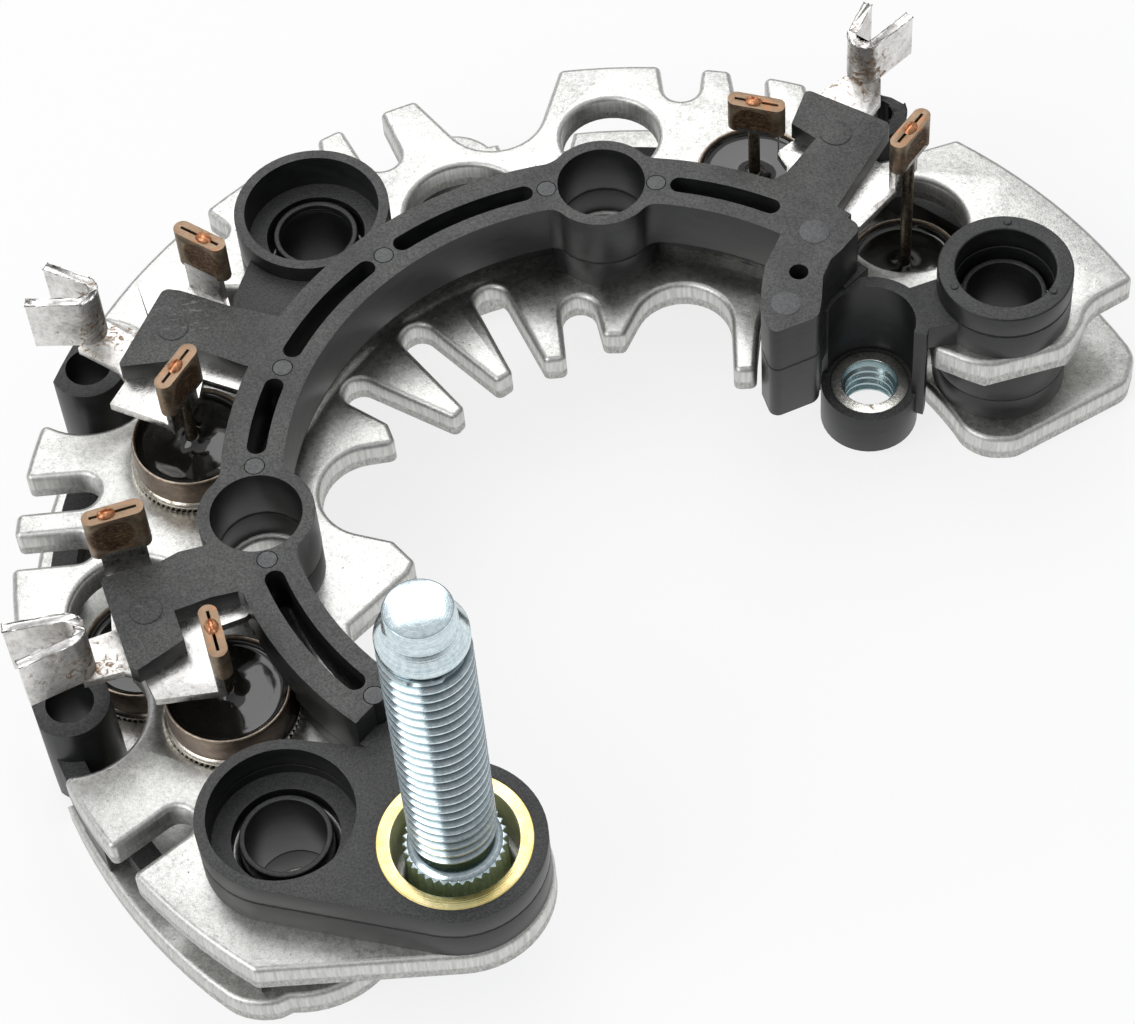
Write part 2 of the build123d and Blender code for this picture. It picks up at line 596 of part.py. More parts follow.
def phase_terminal(phase, leads):
    """One stamped terminal: strip, two closed diode crimps and an open stator crimp."""
    terminal = strip_solid(phase) + stator_crimp(*phase["stator"], phase["stator_top"])
    holes = Sketch()
    for place, (heading, shift, top) in leads:
        turned = Pos(*place) * Rot(Z=heading) * Pos(X=shift)
        tab = turned * Rectangle(CRIMP_L - 2 * CRIMP_TAB_INSET, CRIMP_T) & polygon(phase["strip"])
        terminal += prism(tab, ARM_BOTTOM, CRIMP_BOTTOM)
        terminal += prism(turned * SlotOverall(CRIMP_L, CRIMP_T), CRIMP_BOTTOM, top)
        holes += turned * Rectangle(CRIMP_L - 2 * CRIMP_END_WALL, CRIMP_SEAM)
        holes += disc(place, LEAD_R + LEAD_CLEARANCE)
    for peg in phase["pegs"]:
        holes += disc(peg, ARM_PEG_R)
    return terminal - prism(holes, STRIP_BOTTOM, max(crimp[2] for place, crimp in leads))


def sleeve():
    """Brass ring round the foot of the stud."""
    ring = disc(STUD_AT, SLEEVE_R) - disc(STUD_AT, SLEEVE_R - SLEEVE_WALL)
    return prism(ring, POSITIVE_TOP, FLANGE_TOP)


def stud():
    """Battery stud: a head under the plate, a serrated shank through it, thread and pilot."""
    teeth = []
    for index in range(2 * SERRATIONS):
        radius = SERRATION_R - SERRATION_DEPTH * (index % 2)
        teeth.append(polar(radius, index * 180.0 / SERRATIONS))
    shank_top = FLANGE_TOP + SERRATION_RISE
    shoulder = STUD_TOP - STUD_PILOT_L - STUD_SHOULDER_L
    pilot_foot = (STUD_PILOT_R + STUD_PILOT_TAPER, STUD_TOP - STUD_PILOT_L)
    side = Polyline((0, shank_top), (STUD_R, shank_top), (STUD_R, shoulder))
    side += TangentArc((STUD_R, shoulder), pilot_foot, tangent=(0, 1))
    side += Polyline(pilot_foot, (STUD_PILOT_R, STUD_TOP), (0, STUD_TOP), (0, shank_top))
    shaft = revolve(Plane.XZ * make_face(side), Axis.Z)
    shaft += prism(polygon(teeth), POSITIVE_BOTTOM, shank_top)
    shaft += prism(Circle(STUD_HEAD_R), POSITIVE_BOTTOM - STUD_HEAD_T, POSITIVE_BOTTOM)
    return Pos(*STUD_AT) * shaft


def end_collar():
    """Loose ring on top of the end fixing."""
    ring = disc(FIX_END, BUSH_RING_R) - disc(FIX_END, BUSH_RING_R - END_WALL)
    return prism(ring, END_BODY_TOP, END_BODY_TOP + END_COLLAR_T)


def threaded_insert():
    """Metal insert moulded into the lug."""
    ring = disc(LUG_AT, INSERT_R) - disc(LUG_AT, INSERT_BORE_R)
    return prism(ring, LUG_BOTTOM, LUG_TOP)


def diode_cup():
    """Knurled cup with a solid floor, pressed into a heat sink."""
    cup = chamfer(Cylinder(KNURL_R, KNURL_T, align=BASE).edges(), DIODE_CHAMFER)
    return cup - Pos(Z=CUP_FLOOR_T) * Cylinder(POTTING_R, KNURL_T, align=BASE)


def diode_collar():
    """Sleeve that raises the wall of the cup round the potting."""
    collar = Pos(Z=KNURL_T) * Cone(COLLAR_R, COLLAR_TIP_R, COLLAR_T, align=BASE)
    return collar - Cylinder(POTTING_R, KNURL_T + COLLAR_T, align=BASE)


def diode_lead(length):
    """Stiff lead from the die upwards."""
    return prism(Circle(LEAD_R), LEAD_START, length)


def diode_potting():
    """Potting with a low boss round the lead."""
    level = KNURL_T + COLLAR_T - POTTING_DROP
    potting = Pos(Z=CUP_FLOOR_T) * Cylinder(POTTING_R, level - CUP_FLOOR_T, align=BASE)
    potting += Pos(Z=level) * Cone(POTTING_BOSS_R, LEAD_R, POTTING_BOSS_T, align=BASE)
    return potting - diode_lead(level + POTTING_BOSS_T)


def write(name, solid):
    """Write one piece, moved so that the near fixing hole stands at the origin."""
    export_step(Pos(-FIX_NEAR[0], -FIX_NEAR[1], 0) * solid, os.path.join("parts", name + ".step"))


os.makedirs("parts", exist_ok=True)
write("positive_heat_sink", positive_heat_sink())
write("negative_heat_sink", negative_heat_sink())
write("lower_insulator", lower_insulator())
write("bush_near", insulating_bush(FIX_NEAR, NEAR_SHELF + NOSE_ABOVE_SHELF))
write("bush_far", insulating_bush(FIX_FAR, FAR_SHELF + NOSE_ABOVE_SHELF))
write("bush_end", insulating_bush(FIX_END, END_SEAT + NOSE_ABOVE_SHELF))
write("terminal_base", terminal_base())
write("terminal_cover", terminal_cover([strip_solid(phase) for phase in PHASES]))
write("end_collar", end_collar())
write("brass_sleeve", sleeve())
write("battery_stud", stud())
write("threaded_insert", threaded_insert())
for number, phase in enumerate(PHASES):
    leads = [(P_PLACES[number], P_CRIMPS[number]), (N_PLACES[number], N_CRIMPS[number])]
    write(f"phase_terminal_{number + 1}", phase_terminal(phase, leads))
for side, places, crimps, bottom in (
    ("positive", P_PLACES, P_CRIMPS, POSITIVE_BOTTOM), ("negative", N_PLACES, N_CRIMPS, 0.0),
):
    for number, place in enumerate(places):
        seat = Pos(*place, bottom)
        name = f"{side}_diode_{number + 1}"
        write(name + "_cup", seat * diode_cup())
        write(name + "_collar", seat * diode_collar())
        write(name + "_potting", seat * diode_potting())
        write(name + "_lead", seat * diode_lead(crimps[number][2] + LEAD_ABOVE_CRIMP - bottom))
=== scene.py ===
from math import cos, hypot, pi, radians, sin

import bmesh
import bpy
from mathutils import Matrix, Vector


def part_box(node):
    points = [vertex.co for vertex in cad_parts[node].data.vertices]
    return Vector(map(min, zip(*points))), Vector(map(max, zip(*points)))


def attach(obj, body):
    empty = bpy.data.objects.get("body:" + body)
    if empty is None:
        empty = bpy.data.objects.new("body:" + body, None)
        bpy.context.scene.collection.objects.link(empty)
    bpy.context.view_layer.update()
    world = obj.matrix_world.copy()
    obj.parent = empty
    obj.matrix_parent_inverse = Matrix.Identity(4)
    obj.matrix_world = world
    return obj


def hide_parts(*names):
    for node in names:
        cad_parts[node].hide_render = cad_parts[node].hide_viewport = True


# The dressed alternator rectifier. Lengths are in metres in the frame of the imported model, whose
# origin is the near fixing hole at the seat. Half sections and heights of the turned pieces are in
# millimetres.

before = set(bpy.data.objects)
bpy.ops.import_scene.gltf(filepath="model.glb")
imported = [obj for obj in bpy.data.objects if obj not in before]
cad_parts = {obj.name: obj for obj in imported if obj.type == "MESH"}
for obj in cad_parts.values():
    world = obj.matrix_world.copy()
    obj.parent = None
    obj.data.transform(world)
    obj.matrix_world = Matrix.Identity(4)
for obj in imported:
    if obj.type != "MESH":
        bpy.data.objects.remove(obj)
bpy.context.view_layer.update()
MM = 0.001


class Value:
    """A shader number that can be used in plain expressions."""

    def __init__(self, tree, socket):
        self.tree = tree
        self.socket = socket

    def _maths(self, operation, first, second=None):
        node = self.tree.nodes.new("ShaderNodeMath")
        node.operation = operation
        for slot, item in zip(node.inputs, (first, second)):
            if isinstance(item, Value):
                self.tree.links.new(item.socket, slot)
            elif item is not None:
                slot.default_value = item
        return Value(self.tree, node.outputs[0])

    def __add__(self, other):
        return self._maths("ADD", self, other)

    def __radd__(self, other):
        return self._maths("ADD", other, self)

    def __sub__(self, other):
        return self._maths("SUBTRACT", self, other)

    def __rsub__(self, other):
        return self._maths("SUBTRACT", other, self)

    def __mul__(self, other):
        return self._maths("MULTIPLY", self, other)

    def __rmul__(self, other):
        return self._maths("MULTIPLY", other, self)

    def __mod__(self, other):
        return self._maths("FLOORED_MODULO", self, other)

    def size(self):
        return self._maths("ABSOLUTE", self)

    def most(self, other):
        return self._maths("MAXIMUM", self, other)

    def least(self, other):
        return self._maths("MINIMUM", self, other)


class Nodes:
    """A node tree being filled, a material's or the world's."""

    def __init__(self, tree):
        self.tree = tree

    def node(self, kind, settings=(), **values):
        """A node with its settings made first, then the values or links of its sockets."""
        made = self.tree.nodes.new(kind)
        for key, setting in dict(settings).items():
            if key == "stops":
                ramp = made.color_ramp
                while len(ramp.elements) < len(setting):
                    ramp.elements.new(1.0)
                for element, (position, colour) in zip(ramp.elements, setting):
                    element.position = position
                    element.color = (*colour, 1.0)
            else:
                setattr(made, key, setting)
        for key, value in values.items():
            slot = made.inputs[int(key[1:])] if key[1:].isdigit() else made.inputs[key.replace("_", " ")]
            self.feed(slot, value)
        return made

    def feed(self, slot, value):
        """Link a socket to a slot, or set the slot's own value. A colour is given without its alpha."""
        if isinstance(value, Value):
            self.tree.links.new(value.socket, slot)
        elif isinstance(value, bpy.types.NodeSocket):
            self.tree.links.new(value, slot)
        elif slot.type == "RGBA":
            slot.default_value = (*value, 1.0)
        else:
            slot.default_value = value

    def number(self, socket):
        return Value(self.tree, socket)

    def mask(self, value, low, high):
        """A number spread from low to high onto 0 to 1."""
        made = self.node("ShaderNodeMapRange", {"clamp": True}, Value=value, From_Min=low, From_Max=high)
        return self.number(made.outputs[0])

    def colours(self, factor, *stops):
        """A colour ramp driven by a number."""
        return self.node("ShaderNodeValToRGB", {"stops": stops}, Fac=factor).outputs["Color"]

    def mix(self, factor, first, second, blend="MIX"):
        """One colour over another."""
        settings = {"data_type": "RGBA", "blend_type": blend}
        return self.node("ShaderNodeMix", settings, _0=factor, _6=first, _7=second).outputs[2]


class Finish(Nodes):
    """A material being made, and the patterns that the finishes share."""

    def __init__(self, name):
        self.material = bpy.data.materials.new(name)
        self.material.use_nodes = True
        super().__init__(self.material.node_tree)
        self.shader = self.tree.nodes["Principled BSDF"]
        self.place = self.node("ShaderNodeTexCoord").outputs["Object"]

    def stretched(self, scale):
        """Object coordinates, scaled apart along the three axes."""
        return self.node("ShaderNodeMapping", Vector=self.place, Scale=scale).outputs[0]

    def noise(self, size, detail=3.0, rough=0.6, place=None, warp=0.0):
        """Noise from 0 to 1 whose features are about the given size in metres."""
        made = self.node("ShaderNodeTexNoise", Vector=place or self.place, Scale=1 / size,
                         Detail=detail, Roughness=rough, Distortion=warp)
        return self.number(made.outputs["Fac"])

    def specks(self, size):
        """Distance to the nearest of many scattered points, in units of their spacing."""
        made = self.node("ShaderNodeTexVoronoi", Vector=self.place, Scale=1 / size)
        return self.number(made.outputs["Distance"])

    def up(self):
        """How far the surface faces up: 1 on a top face, 0 on an upright side."""
        normal = self.node("ShaderNodeNewGeometry").outputs["True Normal"]
        return self.number(self.node("ShaderNodeSeparateXYZ", Vector=normal).outputs["Z"])

    def level(self):
        """Height above the seat, in metres."""
        return self.number(self.node("ShaderNodeSeparateXYZ", Vector=self.place).outputs["Z"])

    def away(self, point, start=None):
        """Distance from a point, in metres."""
        made = self.node("ShaderNodeVectorMath", {"operation": "DISTANCE"}, _0=start or self.place,
                         _1=tuple(point))
        return self.number(made.outputs["Value"])

    def radius(self, axis):
        """Distance from an upright axis through a point, in metres."""
        flat = self.node("ShaderNodeVectorMath", {"operation": "MULTIPLY"}, _0=self.place, _1=(1.0, 1.0, 0.0))
        return self.away((axis.x, axis.y, 0.0), flat.outputs[0])

    def rings(self, axis, size):
        """Fine lines turned about an upright axis, from 0 to 1."""
        line = self.node("ShaderNodeCombineXYZ", X=self.radius(axis), Y=self.level())
        return self.noise(size, 2.0, 0.5, line.outputs[0])

    def near(self, points, reach):
        """1 at any of the points, falling to 0 at a reach from all of them."""
        closest = self.away(points[0])
        for point in points[1:]:
            closest = closest.least(self.away(point))
        return self.mask(closest, reach, 0.0)

    def set(self, **values):
        """Values or links of the shader's sockets."""
        for key, value in values.items():
            self.feed(self.shader.inputs[key.replace("_", " ")], value)

    def bump(self, height, depth):
        """Feed a height from 0 to 1, worth a depth in metres, to the normal."""
        made = self.node("ShaderNodeBump", Height=height, Distance=depth)
        self.feed(self.shader.inputs["Normal"], made.outputs[0])
        return self


def centre(node):
    low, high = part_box(node)
    return (low + high) / 2


def top(node):
    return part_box(node)[1].z


def spot(*place):
    """A place that is given in millimetres."""
    return Vector(place) * MM


DIODES = [f"{side}_diode_{number}_" for side in ("positive", "negative") for number in (1, 2, 3)]
LEADS = [centre(diode + "lead") for diode in DIODES]
STUD = centre("battery_stud")
INSERT = centre("threaded_insert")
# Press marks of the closed crimps, below the ends of their leads
MARK_DEPTH = 2.7 * MM
CRIMP_MIDDLES = [
    Vector((lead.x, lead.y, top(diode + "lead") - MARK_DEPTH)) for lead, diode in zip(LEADS, DIODES)
]
# Headings of the lead ends in degrees, which lie along their crimps
CRIMP_TURNS = dict(zip(DIODES, (56.0, -78.0, -20.5, -37.0, 13.0, 50.0)))
# Heights of the joint between the frame's two halves, and of the three open crimps
PARTING = top("terminal_base") - 6.0 * MM
OPEN_CRIMP_TOPS = (26.5 * MM, 26.5 * MM, 25.6 * MM)
# The closed crimps' lower edges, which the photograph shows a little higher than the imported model
CRIMP_BOTTOM = 22.0 * MM
CRIMP_RAISE = 1.5 * MM
# Height at which the brown of a closed crimp gives way to the bare tin of its tab
CRIMP_CUT = CRIMP_BOTTOM + CRIMP_RAISE + 0.4 * MM
# How far a closed crimp reaches from its lead
CRIMP_REACH = 4.2 * MM
# Where the photograph shows wear: scratches on two arms, flash at the frame's foot, dirt on the insert
SCRATCHED_ARM = spot(-7.6, 55.6, 22.4)
SCUFFED_ARM = spot(-11.4, 20.6, 22.4)
FLASH = [spot(5.5, 22.0, 13.0), spot(6.0, 45.0, 13.0), spot(18.0, 60.0, 13.0), spot(46.0, 59.0, 13.0)]
DIRTY_INSERT = [spot(57.6, 54.2, 11.6)]
# Bends of the three open crimps, where the solder has stained the tin
STAINS = [spot(-14.9, 56.0, 22.5), spot(-16.5, 16.3, 22.5), spot(62.6, 80.2, 22.0)]


def tumbled_aluminium():
    look = Finish("tumbled_aluminium")
    face = look.mask(look.up().size(), 0.80, 0.99)
    broad = look.noise(8 * MM, 2.0)
    fine = look.noise(0.55 * MM, 4.0, 0.75)
    grain = look.noise(0.16 * MM, 2.0, 0.6)
    pits = look.mask(look.specks(0.55 * MM), 0.16, 0.05) * look.mask(look.noise(1.7 * MM), 0.50, 0.62)
    shade = 0.45 * fine + 0.25 * broad + 0.30 * grain
    plane = look.colours(shade, (0.36, (0.30, 0.30, 0.285)), (0.47, (0.52, 0.52, 0.50)),
                         (0.62, (0.75, 0.75, 0.725)))
    height = look.level() % (10 * MM)
    torn = look.mask(height + 0.7 * MM * (look.noise(1.2 * MM, 4.0, 0.7) - 0.5), 1.25 * MM, 0.95 * MM)
    drawn = look.noise(0.5 * MM, 3.0, 0.7, look.stretched((1.6, 1.6, 0.12)))
    ripped = look.noise(0.35 * MM, 3.0, 0.8, look.stretched((1.2, 1.2, 0.6)))
    smooth = look.colours(drawn, (0.32, (0.52, 0.52, 0.50)), (0.64, (0.74, 0.74, 0.72)))
    rough = look.colours(ripped, (0.34, (0.36, 0.36, 0.345)), (0.66, (0.66, 0.66, 0.64)))
    side = look.mix(torn, smooth, rough)
    colour = look.mix(0.75 * pits * face, look.mix(face, side, plane), (0.12, 0.115, 0.11))
    look.set(Base_Color=colour, Metallic=1.0)
    look.set(Roughness=0.26 + 0.16 * fine + 0.12 * (1 - face) + 0.12 * torn * (1 - face))
    height = face * (0.45 * fine + 0.40 * grain - 0.6 * pits) + (1 - face) * (0.6 * drawn + torn * ripped)
    return look.bump(height, 0.035 * MM).material


def moulded_black():
    look = Finish("moulded_black")
    grain = look.noise(0.24 * MM, 3.0, 0.75)
    specks = look.mask(look.specks(0.42 * MM), 0.17, 0.06) * look.mask(look.noise(1.1 * MM), 0.42, 0.60)
    cloud = look.noise(6 * MM, 3.0, 0.6)
    flow = look.noise(2.2 * MM, 4.0, 0.65, look.stretched((1.0, 1.0, 2.5)))
    face = look.mask(look.up(), 0.70, 0.98)
    # Higher top faces get a lighter tone in clouds: partly dust, partly painted sheen.
    high = look.mask(look.level(), 18.0 * MM, 22.0 * MM) * (0.35 + 0.65 * look.mask(cloud, 0.35, 0.65))
    scuffs = look.noise(0.8 * MM, 4.0, 0.75, look.stretched((0.5, 1.6, 1.0)), 0.4)
    handled = look.near([SCRATCHED_ARM], 6.5 * MM) * look.mask(scuffs, 0.56, 0.66)
    scuffed = look.near([SCUFFED_ARM], 7.0 * MM) * look.mask(scuffs, 0.58, 0.68)
    foot = look.mask(look.level(), 13.65 * MM, 13.20 * MM) * look.mask(look.level(), 12.8 * MM, 12.95 * MM)
    foot = foot * look.mask(look.noise(0.8 * MM, 3.0, 0.7), 0.46, 0.60)
    foot = foot * look.mask(look.near(FLASH, 11 * MM), 0.0, 0.3)
    ragged = look.level() + 0.30 * MM * (look.noise(0.7 * MM, 4.0, 0.7) - 0.5)
    seam = look.mask((ragged - PARTING).size(), 0.20 * MM, 0.10 * MM) * (1 - face)
    # The side walls are painted darker than the top faces: painted shade.
    wall = look.colours(flow, (0.30, (0.008, 0.0085, 0.0085)), (0.70, (0.020, 0.021, 0.021)))
    plain = look.colours(grain, (0.36, (0.018, 0.019, 0.019)), (0.64, (0.060, 0.062, 0.060)))
    dust_and_sheen_top = look.colours(grain, (0.36, (0.040, 0.041, 0.039)), (0.64, (0.125, 0.129, 0.122)))
    colour = look.mix(face, wall, look.mix(high, plain, dust_and_sheen_top))
    colour = look.mix(0.45 * specks * face, colour, (0.18, 0.18, 0.175))
    colour = look.mix(0.7 * handled.most(0.6 * scuffed), colour, (0.30, 0.31, 0.31))
    colour = look.mix(0.5 * foot * (1 - face), colour, (0.22, 0.22, 0.18))
    colour = look.mix(0.9 * seam, colour, (0.002, 0.002, 0.002))
    look.set(Base_Color=colour, Roughness=0.30 + 0.14 * flow + 0.14 * face + 0.10 * face * grain + 0.3 * seam)
    height = face * (0.8 * grain + 0.5 * specks) + (1 - face) * 0.25 * flow - 1.5 * seam
    return look.bump(height, 0.045 * MM).material


def staked_end():
    look = Finish("staked_end")
    melted = look.noise(0.45 * MM, 3.0, 0.6, warp=0.8)
    grain = look.noise(0.22 * MM, 3.0, 0.75)
    shade = 0.5 * melted + 0.5 * grain
    look.set(Base_Color=look.colours(shade, (0.38, (0.055, 0.058, 0.060)), (0.62, (0.13, 0.135, 0.135))))
    look.set(Roughness=0.40 + 0.15 * melted)
    return look.bump(shade, 0.05 * MM).material


def dipped_tin():
    look = Finish("dipped_tin")
    fine = look.noise(0.5 * MM, 5.0, 0.7)
    smear = look.noise(2.6 * MM, 3.0, 0.6, warp=0.6)
    soldered = look.near(STAINS, 7.5 * MM)
    ripple = look.noise(0.9 * MM, 4.0, 0.7, warp=1.2)
    stains = look.mask(ripple + 0.22 * soldered, 0.66, 0.78) * look.mask(soldered, 0.0, 0.35)
    rust = look.mask(look.noise(1.3 * MM, 4.0, 0.8), 0.63, 0.70) * look.mask(soldered, 0.0, 0.2)
    colour = look.colours(0.5 * fine + 0.5 * smear, (0.34, (0.40, 0.39, 0.37)), (0.48, (0.68, 0.67, 0.65)),
                          (0.62, (0.86, 0.85, 0.83)))
    colour = look.mix(0.85 * stains, colour, (0.26, 0.155, 0.07))
    colour = look.mix(0.8 * rust, colour, (0.15, 0.08, 0.04))
    look.set(Base_Color=colour, Metallic=1.0)
    look.set(Roughness=0.18 + 0.22 * fine + 0.25 * stains.most(rust) + 0.10 * soldered)
    return look.bump(0.35 * fine + 0.4 * smear + 0.5 * soldered * ripple, 0.09 * MM).material


def pressed_crimp():
    look = Finish("pressed_crimp")
    fine = look.noise(0.45 * MM, 5.0, 0.75)
    cloud = look.noise(2.2 * MM, 3.0, 0.6)
    scored = look.noise(0.5 * MM, 5.0, 0.8, look.stretched((1.0, 1.0, 2.2)), 0.5)
    pressed = look.mask(look.near(CRIMP_MIDDLES, 2.7 * MM) + 0.35 * (scored - 0.5), 0.05, 0.20)
    heated = look.mask(look.noise(1.5 * MM, 3.0, 0.7, warp=0.6), 0.58, 0.68)
    rim = look.mask(look.up(), 0.5, 0.9)
    colour = look.colours(0.5 * fine + 0.5 * cloud, (0.36, (0.12, 0.088, 0.058)), (0.50, (0.245, 0.19, 0.13)),
                          (0.64, (0.40, 0.32, 0.235)))
    colour = look.mix(0.6 * rim, colour, (0.34, 0.215, 0.135))
    colour = look.mix(0.7 * heated, colour, (0.46, 0.20, 0.09))
    mark = look.colours(scored, (0.38, (0.022, 0.015, 0.010)), (0.52, (0.13, 0.075, 0.042)),
                        (0.66, (0.36, 0.24, 0.14)))
    look.set(Base_Color=look.mix(pressed, colour, mark), Metallic=0.8)
    look.set(Roughness=0.30 + 0.20 * fine + 0.16 * pressed)
    return look.bump(0.4 * fine + 0.9 * pressed * scored, 0.10 * MM).material


def browned_collar():
    look = Finish("browned_collar")
    fine = look.noise(0.5 * MM, 4.0, 0.7)
    cloud = look.noise(2.5 * MM, 3.0, 0.6, look.stretched((1.0, 1.0, 1.8)))
    rim = look.mask(look.up(), 0.15, 0.6)
    wall = look.colours(0.4 * fine + 0.6 * cloud, (0.36, (0.12, 0.088, 0.066)), (0.64, (0.26, 0.20, 0.155)))
    edge = look.colours(fine, (0.36, (0.28, 0.22, 0.17)), (0.64, (0.54, 0.46, 0.37)))
    look.set(Base_Color=look.mix(rim, wall, edge), Metallic=0.75, Roughness=0.22 + 0.2 * fine)
    return look.bump(fine, 0.03 * MM).material


def glossy_potting():
    look = Finish("glossy_potting")
    ripple = look.noise(3.5 * MM, 2.0)
    dust = look.mask(look.specks(0.8 * MM), 0.07, 0.03) * look.mask(look.noise(2.1 * MM), 0.48, 0.60)
    cast = look.mix(ripple, (0.006, 0.006, 0.005), (0.014, 0.013, 0.011))
    look.set(Base_Color=look.mix(0.6 * dust, cast, (0.3, 0.3, 0.28)))
    look.set(Coat_Weight=0.5, Roughness=0.05 + 0.05 * ripple + 0.3 * dust)
    return look.bump(ripple + 0.2 * dust, 0.10 * MM).material


def tarnished_lead():
    look = Finish("tarnished_lead")
    fine = look.noise(0.4 * MM, 4.0, 0.7)
    bare = look.mask(look.level() + 0.3 * MM * (fine - 0.5), 26.6 * MM, 27.0 * MM)
    dark = look.colours(fine, (0.36, (0.060, 0.050, 0.034)), (0.64, (0.21, 0.175, 0.125)))
    cut = look.colours(fine, (0.36, (0.42, 0.16, 0.065)), (0.64, (0.86, 0.44, 0.24)))
    look.set(Base_Color=look.mix(bare, dark, cut), Metallic=0.85, Roughness=0.24 + 0.2 * fine)
    return look.bump(fine, 0.05 * MM).material


def zinc_plate():
    look = Finish("zinc_plate")
    fine = look.noise(0.4 * MM, 4.0, 0.65)
    lines = look.rings(STUD, 0.10 * MM)
    colour = look.colours(0.5 * fine + 0.5 * lines, (0.36, (0.42, 0.53, 0.57)), (0.52, (0.64, 0.75, 0.79)),
                          (0.64, (0.85, 0.92, 0.94)))
    # The thread's valleys are darkened towards the root: painted shade, with some oil held in the roots.
    valley_shade_and_oil = look.mask(look.radius(STUD), 3.96 * MM, 3.58 * MM)
    valley_shade_and_oil = valley_shade_and_oil * look.mask(look.level(), 51.2 * MM, 50.6 * MM)
    colour = look.mix(0.90 * valley_shade_and_oil, colour, (0.05, 0.09, 0.105))
    look.set(Base_Color=colour, Metallic=1.0, Roughness=0.13 + 0.08 * fine)
    return look.bump(0.4 * fine + 0.6 * lines, 0.010 * MM).material


def nickelled(name, dark, light, dirty=(), dirt=(0.20, 0.16, 0.11), bore=()):
    """Nickel with patches of grime, more of it about the dirty places, and a bore of its own colour."""
    look = Finish(name)
    fine = look.noise(0.35 * MM, 4.0, 0.7)
    cloud = look.noise(1.8 * MM, 3.0, 0.6)
    patches = look.noise(1.3 * MM, 4.0, 0.7)
    if dirty:
        patches = patches + 0.22 * look.near(dirty, 3.6 * MM)
    grime = look.mask(patches, 0.57, 0.68)
    colour = look.mix(0.8 * grime, look.colours(0.3 * fine + 0.7 * cloud, (0.36, dark), (0.64, light)), dirt)
    if bore:
        colour = look.mix(look.mask(look.radius(INSERT), 2.88 * MM, 2.82 * MM), colour, bore)
    look.set(Base_Color=colour, Metallic=1.0, Roughness=0.18 + 0.14 * fine + 0.14 * grime)
    return look.bump(fine + 0.4 * grime, 0.02 * MM).material


def turned_brass():
    look = Finish("turned_brass")
    face = look.mask(look.up(), 0.6, 0.9)
    lines = look.rings(STUD, 0.12 * MM)
    cloud = look.noise(3.5 * MM, 3.0, 0.6)
    flat = look.colours(0.55 * cloud + 0.45 * lines, (0.36, (0.64, 0.47, 0.15)), (0.50, (0.83, 0.66, 0.28)),
                        (0.62, (0.94, 0.82, 0.48)))
    bore = look.colours(cloud, (0.35, (0.58, 0.56, 0.26)), (0.65, (0.82, 0.79, 0.46)))
    look.set(Base_Color=look.mix(face, bore, flat), Metallic=0.25 + 0.75 * face)
    look.set(Roughness=0.20 + 0.10 * lines + 0.14 * (1 - face))
    return look.bump(lines, 0.012 * MM).material


aluminium = tumbled_aluminium()
black = moulded_black()
staked = staked_end()
tin = dipped_tin()
crimped = pressed_crimp()
collar_brown = browned_collar()
potting = glossy_potting()
lead_copper = tarnished_lead()
zinc = zinc_plate()
brass = turned_brass()
cup_nickel = nickelled("cup_nickel", (0.50, 0.46, 0.39), (0.80, 0.76, 0.69))
insert_nickel = nickelled("insert_nickel", (0.66, 0.65, 0.59), (0.92, 0.91, 0.86), DIRTY_INSERT,
                          (0.22, 0.16, 0.06), (0.44, 0.55, 0.57))


def deselect():
    bpy.ops.object.select_all(action="DESELECT")


def enter(piece):
    """Make one piece the only selected object."""
    deselect()
    piece.select_set(True)
    bpy.context.view_layer.objects.active = piece


def editing(piece):
    enter(piece)
    bpy.ops.object.mode_set(mode="EDIT")


def leave():
    bpy.ops.object.mode_set(mode="OBJECT")


def pick(piece, kind, wanted):
    """Select the vertices, edges or faces of the edited piece that pass a test, and no others."""
    bpy.ops.mesh.select_mode(type=kind)
    bpy.ops.mesh.select_all(action="DESELECT")
    shape = bmesh.from_edit_mesh(piece.data)
    found = {"VERT": shape.verts, "EDGE": shape.edges, "FACE": shape.faces}[kind]
    for item in found:
        if wanted(item):
            item.select_set(True)
    shape.select_flush_mode()
    bmesh.update_edit_mesh(piece.data)


def modify(piece, kind, **settings):
    """Add one modifier and apply it."""
    enter(piece)
    modifier = piece.modifiers.new(kind.lower(), kind)
    for key, value in settings.items():
        setattr(modifier, key, value)
    bpy.ops.object.modifier_apply(modifier=modifier.name)


def joined(name, pieces):
    """Several pieces made one, with its place in its mesh."""
    deselect()
    for piece in pieces:
        piece.select_set(True)
    bpy.context.view_layer.objects.active = pieces[0]
    if len(pieces) > 1:
        bpy.ops.object.join()
    bpy.ops.object.transform_apply(location=True, rotation=True, scale=True)
    pieces[0].name = name
    return pieces[0]


def stands_for(piece, slot, *nodes, angle=38, materials=()):
    """Finish a piece: smooth shading, material, and the nodes that it replaces. The slot is not used."""
    enter(piece)
    bpy.ops.object.shade_smooth_by_angle(angle=radians(angle))
    if materials:
        piece.data.materials.clear()
        for material in materials:
            piece.data.materials.append(material)
    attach(piece, "root")
    if nodes:
        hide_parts(*nodes)


def merged(node, name):
    """A welded copy of a CAD node, with flat faces made whole."""
    piece = bpy.data.objects.new(name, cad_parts[node].data.copy())
    bpy.context.scene.collection.objects.link(piece)
    piece.data.materials.clear()
    editing(piece)
    bpy.ops.mesh.select_all(action="SELECT")
    bpy.ops.mesh.remove_doubles(threshold=0.002 * MM)
    bpy.ops.mesh.dissolve_limited(angle_limit=radians(1.0))
    leave()
    return piece


def eased(piece, width, angle=38, segments=3):
    """Round every edge sharper than an angle in degrees."""
    modify(piece, "BEVEL", width=width, segments=segments, limit_method="ANGLE", angle_limit=radians(angle),
           use_clamp_overlap=True)
    return piece


